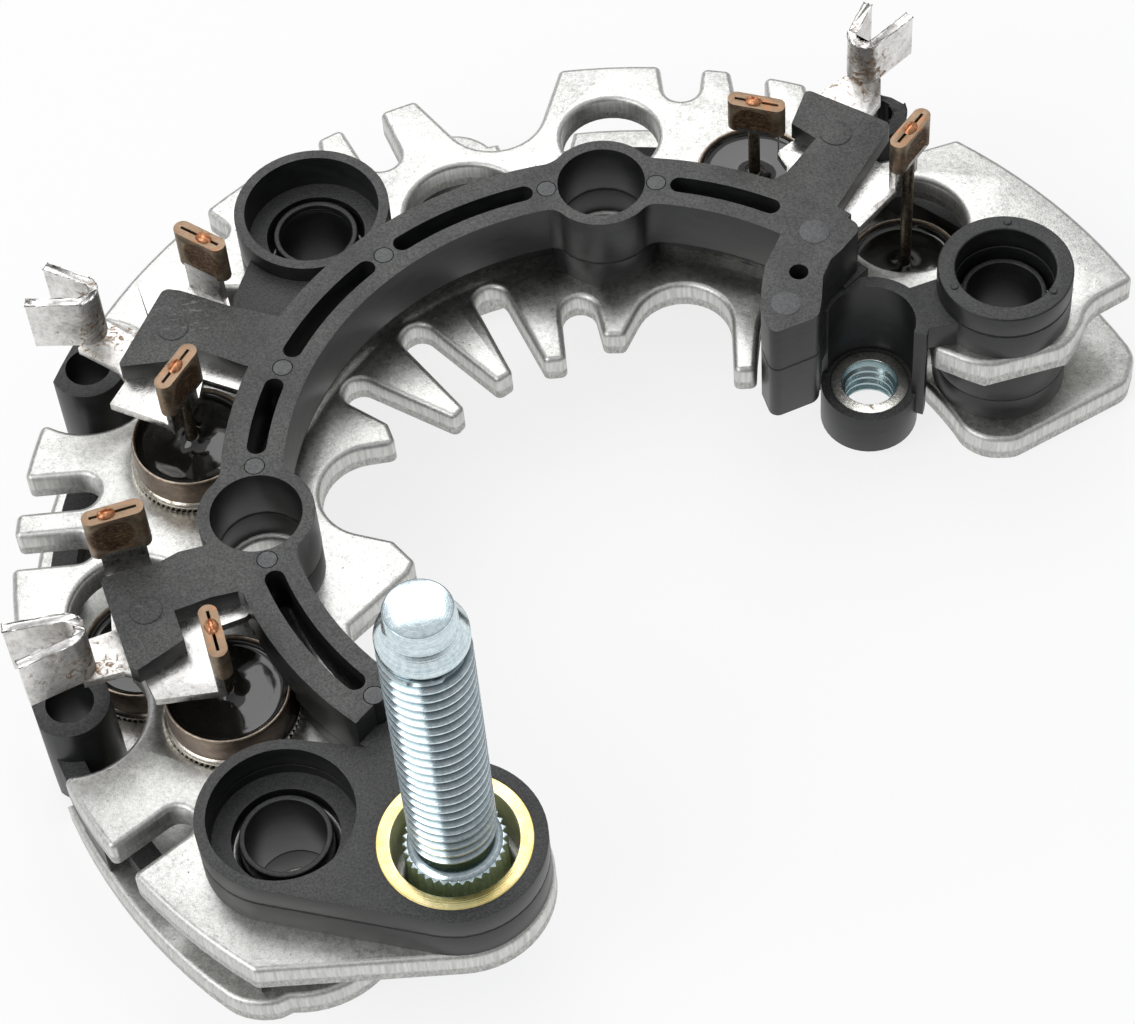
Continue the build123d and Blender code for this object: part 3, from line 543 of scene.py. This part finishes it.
# Corners that lie closer together than this in plan are the same corner
SAME_PLACE = 0.02 * MM


def upright(edge):
    """Whether an edge stands on end and is longer than the small steps of a moulding."""
    low, high = sorted(vertex.co.z for vertex in edge.verts)
    return high - low > 0.9 * MM and (edge.verts[0].co.xy - edge.verts[1].co.xy).length < SAME_PLACE


def blended(piece, width, *places):
    """Round the upright corners nearest to some places, each with one wide arc."""
    editing(piece)
    for place in places:
        wanted = spot(*place)
        shape = bmesh.from_edit_mesh(piece.data)
        found = min((edge for edge in shape.edges if upright(edge)),
                    key=lambda edge: (edge.verts[0].co.xy - wanted).length)
        corner = found.verts[0].co.xy.copy()

        def away(edge):
            return (edge.verts[0].co.xy - corner).length

        pick(piece, "EDGE", lambda edge: upright(edge) and SAME_PLACE < away(edge) < 1.02 * width)
        bpy.ops.mesh.dissolve_edges(use_verts=True)
        pick(piece, "EDGE", lambda edge: upright(edge) and away(edge) < SAME_PLACE)
        bpy.ops.mesh.bevel(offset=width, segments=6, profile=0.5, affect="EDGES", clamp_overlap=False)
    leave()


def drawn_back(piece, shift, *places):
    """Shorten a bar of a piece by moving the upright corners at its end."""
    editing(piece)
    for place in places:
        corner = spot(*place)
        pick(piece, "EDGE", lambda edge: upright(edge)
             and 0.2 * MM < (edge.verts[0].co.xy - corner).length < 1.15 * shift.length)
        bpy.ops.mesh.dissolve_edges(use_verts=True)
        pick(piece, "VERT", lambda vertex: (vertex.co.xy - corner).length < 0.2 * MM)
        bpy.ops.transform.translate(value=shift)
    leave()


def ragged(piece, wanted, cuts, reach, seed):
    """Cut some faces up and move their corners at random, by up to a reach."""
    editing(piece)
    pick(piece, "FACE", wanted)
    if cuts:
        bpy.ops.mesh.subdivide(number_cuts=cuts)
    bpy.ops.transform.vertex_random(offset=reach, uniform=0.0, normal=0.0, seed=seed)
    leave()


def drawn_line(name, place, points):
    """A bent line of radius and height points, drawn on from one vertex in the XZ plane."""
    deselect()
    bpy.ops.mesh.primitive_plane_add(size=MM, location=(place.x, place.y, 0.0))
    piece = bpy.context.object
    piece.name = name
    bpy.ops.object.mode_set(mode="EDIT")
    bpy.ops.mesh.select_mode(type="VERT")
    bpy.ops.mesh.merge(type="CENTER")
    bpy.ops.transform.translate(value=(points[0][0] * MM, 0.0, points[0][1] * MM))
    for before, after in zip(points, points[1:]):
        step = ((after[0] - before[0]) * MM, 0.0, (after[1] - before[1]) * MM)
        bpy.ops.mesh.extrude_region_move(TRANSFORM_OT_translate={"value": step})
    bpy.ops.mesh.select_all(action="SELECT")
    bpy.ops.mesh.remove_doubles(threshold=0.0005 * MM)
    return piece


def turned(name, place, section, base=0.0, steps=64):
    """A body turned about an upright axis, from a half section of radius and height points."""
    points = [(radius, height + base) for radius, height in section]
    piece = drawn_line(name, place, points)
    bpy.ops.mesh.spin(steps=steps, angle=2 * pi, center=(place.x, place.y, 0.0), axis=(0.0, 0.0, 1.0))
    bpy.ops.mesh.select_all(action="SELECT")
    bpy.ops.mesh.remove_doubles(threshold=0.0005 * MM)
    bpy.ops.mesh.normals_make_consistent(inside=False)
    leave()
    return piece


# Root radius, crest radius and pitch of the two threads, in millimetres
STUD_THREAD = (3.30, 4.0, 1.25)
INSERT_THREAD = (2.82, 2.50, 1.0)


def thread(name, place, root, crest, pitch, low, high, steps):
    """A helical ridge between two heights, which sinks towards its root at each end."""
    reach, flat = 0.46 * pitch, 0.07 * pitch
    foot = (root, low - reach)
    ridge = [foot, (crest, low - flat), (crest, low + flat), (root, low + reach), foot]
    piece = drawn_line(name, place, ridge)
    leave()
    turns = int((high - low) / pitch)
    modify(piece, "SCREW", angle=2 * pi, screw_offset=pitch * MM, iterations=turns, steps=steps,
           render_steps=steps, axis="Z", use_smooth_shade=False)
    editing(piece)
    bpy.ops.mesh.select_all(action="SELECT")
    bpy.ops.mesh.remove_doubles(threshold=0.0005 * MM)
    bpy.ops.mesh.select_all(action="DESELECT")
    bpy.ops.mesh.select_non_manifold()
    bpy.ops.mesh.fill_holes(sides=8)
    sunk = (root / crest) ** 0.34
    last = low + turns * pitch
    for share in (0.5, 0.3, 0.1):
        for inside in (
            lambda v: v.co.z < (low + share * pitch * 0.5) * MM,
            lambda v: v.co.z > (last - share * pitch * 0.5) * MM,
        ):
            pick(piece, "VERT", inside)
            bpy.ops.transform.resize(value=(sunk, sunk, 1.0), center_override=(place.x, place.y, 0.0))
    bpy.ops.mesh.select_all(action="SELECT")
    bpy.ops.mesh.normals_make_consistent(inside=False)
    leave()
    return piece


# Corners of the two plates that the photograph shows rounder: width of the arc, and the places in
# millimetres
PLATE_CORNERS = {
    "positive_heat_sink": [(2.2 * MM, (70.3, 47.4)), (1.6 * MM, (79.15, 49.2), (81.9, 54.3))],
    "negative_heat_sink": [(2.6 * MM, (69.4, 45.9)), (2.8 * MM, (-5.2, -11.0))],
}


# Width of the edge that the die draws round, and the reach of the diode seats, whose rims stay sharp
DRAWN_EDGE = 0.62 * MM
SEAT_REACH = 6.7 * MM


def rolled_plate(node):
    """A stamped plate: its upper edge drawn round by the die, its lower edge nearly sharp."""
    piece = merged(node, node + "_stamped")
    for width, *places in PLATE_CORNERS[node]:
        blended(piece, width, *places)
    high = top(node)
    seats = [lead for lead, diode in zip(LEADS, DIODES) if diode.startswith(node.split("_")[0])]
    editing(piece)

    def upper(edge):
        flat = all(abs(vertex.co.z - high) < 0.01 * MM for vertex in edge.verts)
        middle = (edge.verts[0].co + edge.verts[1].co) / 2
        seated = any(hypot(middle.x - seat.x, middle.y - seat.y) < SEAT_REACH for seat in seats)
        return flat and not seated and edge.calc_face_angle(0.0) > radians(60)

    pick(piece, "EDGE", upper)
    bpy.ops.mesh.bevel(offset=DRAWN_EDGE, segments=4, profile=0.5, affect="EDGES", clamp_overlap=False)
    leave()
    eased(piece, 0.08 * MM, 60, 2)
    stands_for(piece, "aluminium", node, angle=50, materials=[aluminium])


MOULDED_EDGE = 0.18 * MM


def moulding(node, width=MOULDED_EDGE):
    """A black moulding with its edges eased."""
    piece = eased(merged(node, node + "_moulded"), width)
    stands_for(piece, "black_moulding", node, materials=[black])


# Corners of the frame, given in the same way: where its tubes run into the rail, round its end block,
# and at the end of the first arm
COVER_CORNERS = [
    (0.95 * MM, (-4.5, 35.4), (-3.6, 25.9), (1.6, 35.8), (2.4, 26.6),
     (29.8, 71.1), (39.3, 70.6), (29.6, 65.0), (38.9, 64.6)),
    (1.1 * MM, (49.2, 46.5), (59.6, 59.0)),
    (0.7 * MM, (54.0, 48.2), (64.2, 72.1), (56.2, 77.9), (-14.3, 50.0), (-9.7, 59.4)),
]
FRAME_TUBES = [spot(34.35, 67.9), spot(-1.1, 30.95)]
# Radius of the tubes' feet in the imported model, and as the photograph shows it
FOOT_R = 5.3 * MM
SEEN_FOOT_R = 5.55 * MM


def upper_frame():
    """The upper half of the frame, its corners rounded as moulded."""
    node = "terminal_cover"
    piece = merged(node, node + "_moulded")
    for width, *places in COVER_CORNERS:
        blended(piece, width, *places)
    stands_for(eased(piece, MOULDED_EDGE), "black_moulding", node, materials=[black])


# Middle of the wire tube behind the third arm
BROKEN_TUBE = spot(63.3, 80.9)


def insulator():
    """The lower insulator: its near end kept behind the plate, the third wire tube's rim broken."""
    node = "lower_insulator"
    piece = merged(node, node + "_moulded")
    drawn_back(piece, spot(-1.9, 1.5, 0.0), (-2.0, -10.6), (-0.4, -8.7))
    eased(piece, MOULDED_EDGE)
    low = top(node) - 0.2 * MM

    def rim(face):
        middle = face.calc_center_median()
        return middle.z > low and (middle.xy - BROKEN_TUBE).length < 5 * MM

    ragged(piece, rim, 0, 0.22 * MM, 4)
    stands_for(piece, "black_moulding", node, materials=[black])


def lower_frame():
    """The lower half of the frame: its tubes' feet widened, the melted ends of its posts lighter."""
    piece = merged("terminal_base", "terminal_base_moulded")
    editing(piece)
    for tube in FRAME_TUBES:
        pick(piece, "VERT", lambda vertex: vertex.co.z < PARTING + 0.1 * MM
             and abs((vertex.co.xy - tube).length - FOOT_R) < 0.08 * MM)
        wider = SEEN_FOOT_R / FOOT_R
        bpy.ops.transform.resize(value=(wider, wider, 1.0), center_override=(*tube, 0.0))
    leave()
    eased(piece, 0.12 * MM)
    stands_for(piece, "black_moulding", "terminal_base", materials=[black, staked])
    high = top("terminal_base")
    for face in piece.data.polygons:
        if face.center.z > high - 0.05 * MM:
            face.material_index = 1


# Round marks of the mould's pins on the frame's arms and block and on the ring: places and radii,
# in millimetres
ARM_MARKS = [((-8.8, 54.2), 1.55), ((-11.5, 21.0), 1.55), ((58.5, 71.5), 1.6)]
BLOCK_MARKS = [((54.8, 58.9), 1.5), ((51.0, 50.2), 1.5)]
COLLAR_MARKS = [((74.4, 60.7), 0.42), ((68.0, 53.1), 0.42), ((77.5, 51.4), 0.42)]


def pin_marks(name, marks, high, material, rise=0.07):
    """Flat round marks that the mould's pins leave on an upper face."""
    pieces = []
    for place, radius in marks:
        section = [
            (0.0, -0.3), (radius - 0.10, -0.3), (radius, -0.05), (radius - 0.02, 0.6 * rise),
            (radius - 0.12, rise), (0.0, 0.7 * rise),
        ]
        pieces.append(turned("mark", spot(*place, 0.0), section, high / MM, 40))
    stands_for(joined(name, pieces), "black_moulding", materials=[material])


def near_lead(place, reach):
    """Whether a place is within a reach of the axis of a lead."""
    return any((place.xy - lead.xy).length < reach for lead in LEADS)


def phase_terminal(number):
    """A terminal with press marks in its closed crimps and torn rims on its open one."""
    node = f"phase_terminal_{number}"
    piece = merged(node, node + "_pressed")
    editing(piece)

    def crimp_foot(vertex):
        return abs(vertex.co.z - CRIMP_BOTTOM) < 0.05 * MM and near_lead(vertex.co, CRIMP_REACH)

    pick(piece, "VERT", crimp_foot)
    bpy.ops.transform.translate(value=(0.0, 0.0, CRIMP_RAISE))

    def runs_into_tab(face):
        heights = [vertex.co.z for vertex in face.verts]
        across_cut = min(heights) < CRIMP_BOTTOM + 0.9 * CRIMP_RAISE and max(heights) > CRIMP_CUT
        beside = any(near_lead(vertex.co, CRIMP_REACH) for vertex in face.verts)
        return abs(face.normal.z) < 0.1 and across_cut and beside

    pick(piece, "FACE", runs_into_tab)
    bpy.ops.mesh.bisect(plane_co=(0.0, 0.0, CRIMP_CUT), plane_no=(0.0, 0.0, 1.0), threshold=0.001 * MM)

    def crimp_wall(face):
        middle = face.calc_center_median()
        broad = abs(face.normal.z) < 0.1 and face.calc_area() > 9 * MM * MM
        return broad and near_lead(middle, 2.0 * MM) and middle.z > CRIMP_BOTTOM + 1.0 * MM

    pick(piece, "FACE", crimp_wall)
    bpy.ops.mesh.inset(thickness=0.55 * MM, depth=0.0, use_individual=True)
    bpy.ops.mesh.inset(thickness=0.45 * MM, depth=-0.16 * MM, use_individual=True)
    leave()
    eased(piece, 0.16 * MM, 30)
    high = OPEN_CRIMP_TOPS[number - 1]

    def open_rim(face):
        return face.normal.z > 0.9 and abs(face.calc_center_median().z - high) < 0.05 * MM

    ragged(piece, open_rim, 5, 0.13 * MM, number)
    stands_for(piece, "tinned_strip", node, angle=45, materials=[tin, crimped])
    for face in piece.data.polygons:
        if face.center.z > CRIMP_CUT and near_lead(face.center, CRIMP_REACH):
            face.material_index = 1


# Teeth of a cup's knurl, the radii of their crests and roots, and their height
TEETH = 72
KNURL_R = 6.47 * MM
KNURL_ROOT = 6.25 * MM
KNURL_HEIGHT = 3.6 * MM


def knurled_cup(diode):
    """A pressed cup: straight knurl below a smooth rounded shoulder."""
    node = diode + "cup"
    place, low = centre(node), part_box(node)[0].z
    deselect()
    bpy.ops.mesh.primitive_cylinder_add(vertices=2 * TEETH, radius=KNURL_R, depth=KNURL_HEIGHT,
                                        location=(place.x, place.y, low + KNURL_HEIGHT / 2))
    knurl = bpy.context.object
    bpy.ops.object.mode_set(mode="EDIT")
    pitch = pi / TEETH

    def in_valley(vertex):
        turn = round(vertex.co.xy.angle_signed(Vector((0.0, 1.0))) / pitch)
        return turn % 2 == 1

    pick(knurl, "VERT", in_valley)
    small = KNURL_ROOT / KNURL_R
    bpy.ops.transform.resize(value=(small, small, 1.0), center_override=(place.x, place.y, 0.0))
    pick(knurl, "FACE", lambda face: face.normal.z > 0.9)
    bpy.ops.mesh.inset(thickness=0.62 * MM)
    bpy.ops.mesh.extrude_region_move(TRANSFORM_OT_translate={"value": (0.0, 0.0, -2.4 * MM)})
    pick(knurl, "FACE", lambda face: face.normal.z < -0.9)
    bpy.ops.mesh.inset(thickness=0.25 * MM)
    bpy.ops.transform.translate(value=(0.0, 0.0, 0.15 * MM))
    leave()
    shoulder = turned("shoulder", place, [
        (5.6, 3.3), (6.22, 3.3), (6.40, 3.46), (6.42, 3.58), (6.36, 3.74), (6.22, 3.90), (6.08, 4.02),
        (5.6, 4.02), (5.6, 3.3),
    ], low / MM, 72)
    piece = joined(node + "_knurled", [knurl, shoulder])
    stands_for(piece, "nickelled_cup", node, angle=30, materials=[cup_nickel])


def diode_collar(diode):
    """A collar with a slightly bulged wall and a rolled rim."""
    node = diode + "collar"
    section = [
        (6.05, 0.0), (6.09, 0.5), (6.05, 1.6), (5.99, 2.5), (5.97, 2.80), (5.91, 2.95), (5.82, 3.0),
        (5.72, 2.96), (5.65, 2.84), (5.58, 2.6), (5.52, 2.2), (5.50, 0.0), (6.05, 0.0),
    ]
    piece = turned(node + "_rolled", centre(node), section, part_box(node)[0].z / MM, 80)
    stands_for(joined(piece.name, [piece]), "copper_collar", node, angle=60, materials=[collar_brown])


def diode_potting(diode):
    """Potting that climbs its wall a little, and the foot of the lead."""
    node = diode + "potting"
    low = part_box(node)[0].z / MM
    section = [
        (0.0, 0.1), (5.40, 0.1), (5.47, 0.2), (5.50, 5.42), (5.36, 5.22), (5.15, 5.09), (4.85, 5.02),
        (4.3, 5.0), (2.6, 5.0), (2.1, 5.03), (1.7, 5.12), (1.3, 5.28), (1.0, 5.46), (0.78, 5.64),
        (0.64, 5.72), (0.0, 5.74),
    ]
    piece = turned(node + "_cast", centre(node), section, low, 72)
    stands_for(joined(piece.name, [piece]), "potting", node, angle=60, materials=[potting])


def squeezed_lead(diode):
    """The stiff lead, and its end squeezed flat and split where it stands out of the crimp."""
    node = diode + "lead"
    place = centre(node)
    low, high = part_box(node)
    length = (high.z - low.z) / MM
    section = [
        (0.0, 0.0), (0.58, 0.0), (0.60, 0.15), (0.60, length - 0.35), (0.45, length - 0.15),
        (0.0, length - 0.1),
    ]
    wire = turned("wire", place, section, low.z / MM, 20)
    middle = (place.x, place.y, high.z - 0.22 * MM)
    deselect()
    bpy.ops.mesh.primitive_uv_sphere_add(segments=24, ring_count=16, radius=0.72 * MM, location=middle)
    end = bpy.context.object
    bpy.ops.object.mode_set(mode="EDIT")
    bpy.ops.mesh.select_all(action="SELECT")
    bpy.ops.transform.resize(value=(1.25, 0.85, 0.62), center_override=middle)
    pick(end, "VERT", lambda vertex: abs(vertex.co.y) < 0.16 * MM and vertex.co.z > 0.05 * MM)
    bpy.ops.transform.translate(value=(0.0, 0.0, -0.20 * MM))
    leave()
    end.rotation_euler.z = radians(CRIMP_TURNS[diode])
    piece = joined(node + "_squeezed", [wire, end])
    stands_for(piece, "copper_lead", node, angle=50, materials=[lead_copper])


# Top of the stud's serrated shank
SHANK_TOP = 19.1 * MM


def threaded_stud():
    """The stud: the CAD node up to its serrated shank, then neck, rolled thread, shoulder and pilot."""
    foot = merged("battery_stud", "battery_stud_threaded")
    editing(foot)
    bpy.ops.mesh.select_all(action="SELECT")
    bpy.ops.mesh.bisect(plane_co=(0.0, 0.0, SHANK_TOP), plane_no=(0.0, 0.0, 1.0), clear_outer=True,
                        use_fill=True)
    leave()
    eased(foot, 0.10 * MM, 30, 2)
    core = turned("core", STUD, [
        (0.0, 18.6), (4.28, 18.6), (4.30, 19.12), (4.22, 19.22), (3.74, 19.40), (3.60, 19.46),
        (3.56, 19.60), (3.56, 20.1), (3.34, 20.5), (3.34, 50.6), (3.72, 50.95), (3.93, 51.2),
        (3.98, 51.5), (3.98, 52.15), (3.93, 52.38), (3.24, 53.46), (3.13, 53.68), (3.05, 54.15),
        (2.99, 55.45), (2.92, 55.62), (2.78, 55.70), (0.0, 55.70),
    ], steps=80)
    ridge = thread("ridge", STUD, *STUD_THREAD, 20.7, 51.0, 56)
    piece = joined("battery_stud_threaded", [foot, core, ridge])
    stands_for(piece, "zinc_steel", "battery_stud", angle=28, materials=[zinc])


def threaded_ring():
    """The insert of the lug: chamfered at its mouth, with its thread inside."""
    low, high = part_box("threaded_insert")
    height = (high.z - low.z) / MM
    ring = turned("ring", INSERT, [
        (4.0, 0.0), (4.0, height - 0.12), (3.94, height - 0.03), (3.82, height), (2.90, height),
        (2.83, height - 0.05), (2.79, height - 0.2), (2.78, 0.3), (3.0, 0.0), (4.0, 0.0),
    ], low.z / MM, 72)
    ridge = thread("ridge", INSERT, *INSERT_THREAD, low.z / MM + 0.55, high.z / MM - 0.45, 48)
    piece = joined("threaded_insert_tapped", [ring, ridge])
    stands_for(piece, "zinc_steel", "threaded_insert", angle=30, materials=[insert_nickel])


def fixing_ring():
    """The ring on the end fixing, with three small pin marks on its rim."""
    moulding("end_collar", 0.22 * MM)
    pin_marks("end_collar_marks", COLLAR_MARKS, top("end_collar"), black, 0.16)


for node in ("positive_heat_sink", "negative_heat_sink"):
    rolled_plate(node)
for node in ("bush_near", "bush_far", "bush_end"):
    moulding(node)
insulator()
lower_frame()
upper_frame()
fixing_ring()
pin_marks("arm_pin_marks", ARM_MARKS, top("terminal_cover"), black, 0.11)
pin_marks("block_pin_marks", BLOCK_MARKS, top("terminal_cover"), staked)
for number in (1, 2, 3):
    phase_terminal(number)
for diode in DIODES:
    knurled_cup(diode)
    diode_collar(diode)
    diode_potting(diode)
    squeezed_lead(diode)
sleeve = eased(merged("brass_sleeve", "brass_sleeve_turned"), 0.08 * MM)
stands_for(sleeve, "brass", "brass_sleeve", materials=[brass])
threaded_stud()
threaded_ring()


def pale_floor():
    """A floor that the camera, and bright metal, sees nearly white, and that keeps the shadow."""
    look = Finish("pale_floor")
    rays = look.node("ShaderNodeLightPath")
    seen = look.number(rays.outputs["Is Camera Ray"]).most(look.number(rays.outputs["Is Glossy Ray"]))
    seen = seen.most(look.number(rays.outputs["Is Transmission Ray"]))
    glow = look.node("ShaderNodeEmission", Color=(1.0, 1.0, 1.0), Strength=1.0)
    matt = look.node("ShaderNodeBsdfDiffuse", Color=(0.95, 0.95, 0.95))
    mixed = look.node("ShaderNodeMixShader", _0=0.80 * seen, _1=matt.outputs[0], _2=glow.outputs[0])
    look.feed(look.tree.nodes["Material Output"].inputs["Surface"], mixed.outputs[0])
    return look.material


deselect()
bpy.ops.mesh.primitive_plane_add(size=6.0, location=(0.03, 0.03, -0.02 * MM))
floor = bpy.context.object
floor.name = "floor"
floor.data.materials.append(pale_floor())


def studio_world():
    """A room that is bright overhead, and darker towards the horizon and the front."""
    world = bpy.data.worlds.new("studio")
    world.use_nodes = True
    sky = Nodes(world.node_tree)
    direction = sky.node("ShaderNodeTexCoord").outputs["Generated"]
    apart = sky.node("ShaderNodeSeparateXYZ", Vector=direction).outputs
    height = sky.colours(apart["Z"], (0.05, (0.30, 0.30, 0.31)), (0.95, (0.85, 0.85, 0.86)))
    depth = sky.node("ShaderNodeMapRange", Value=apart["Y"], From_Min=-0.9, From_Max=0.2, To_Min=0.45)
    background = world.node_tree.nodes["Background"]
    sky.feed(background.inputs["Color"], sky.mix(1.0, height, depth.outputs[0], "MULTIPLY"))
    sky.feed(background.inputs["Strength"], 0.90)
    return world


bpy.context.scene.world = studio_world()

MIDDLE = Vector((0.028, 0.03, 0.01))


def softbox(name, place, size, power):
    """Area light that faces the middle of the object."""
    deselect()
    bpy.ops.object.light_add(type="AREA", location=MIDDLE + Vector(place))
    lamp = bpy.context.object
    lamp.name = name
    lamp.data.size = size
    lamp.data.energy = power
    lamp.rotation_euler = Vector(place).to_track_quat("Z", "Y").to_euler()


softbox("key", (-0.05, 0.42, 0.54), 0.50, 1.5)
softbox("fill", (-0.42, -0.26, 0.40), 0.45, 1.6)

# The camera stands where the photograph was taken from, turned a little about its own axis
CAMERA_AT = Vector((0.028, -0.15627, 0.2779))
CAMERA_RISE = radians(54.24)
CAMERA_ROLL = radians(-5.287)
SENSOR = 36.0
FOCAL_PX = 3375.0
PHOTO_W = 1135.0
back = Vector((0.0, -cos(CAMERA_RISE), sin(CAMERA_RISE)))
across = Vector((1.0, 0.0, 0.0))
up = back.cross(across)
turned_x = cos(CAMERA_ROLL) * across + sin(CAMERA_ROLL) * up
turned_y = -sin(CAMERA_ROLL) * across + cos(CAMERA_ROLL) * up
camera_data = bpy.data.cameras.new("camera")
camera = bpy.data.objects.new("camera", camera_data)
bpy.context.scene.collection.objects.link(camera)
camera_data.sensor_width = SENSOR
camera_data.lens = FOCAL_PX * SENSOR / PHOTO_W
camera_data.clip_start = 0.01
camera.matrix_world = Matrix((
    (turned_x.x, turned_y.x, back.x, CAMERA_AT.x),
    (turned_x.y, turned_y.y, back.y, CAMERA_AT.y),
    (turned_x.z, turned_y.z, back.z, CAMERA_AT.z),
    (0.0, 0.0, 0.0, 1.0),
))
bpy.context.scene.camera = camera
bpy.context.scene.view_settings.view_transform = "Standard"
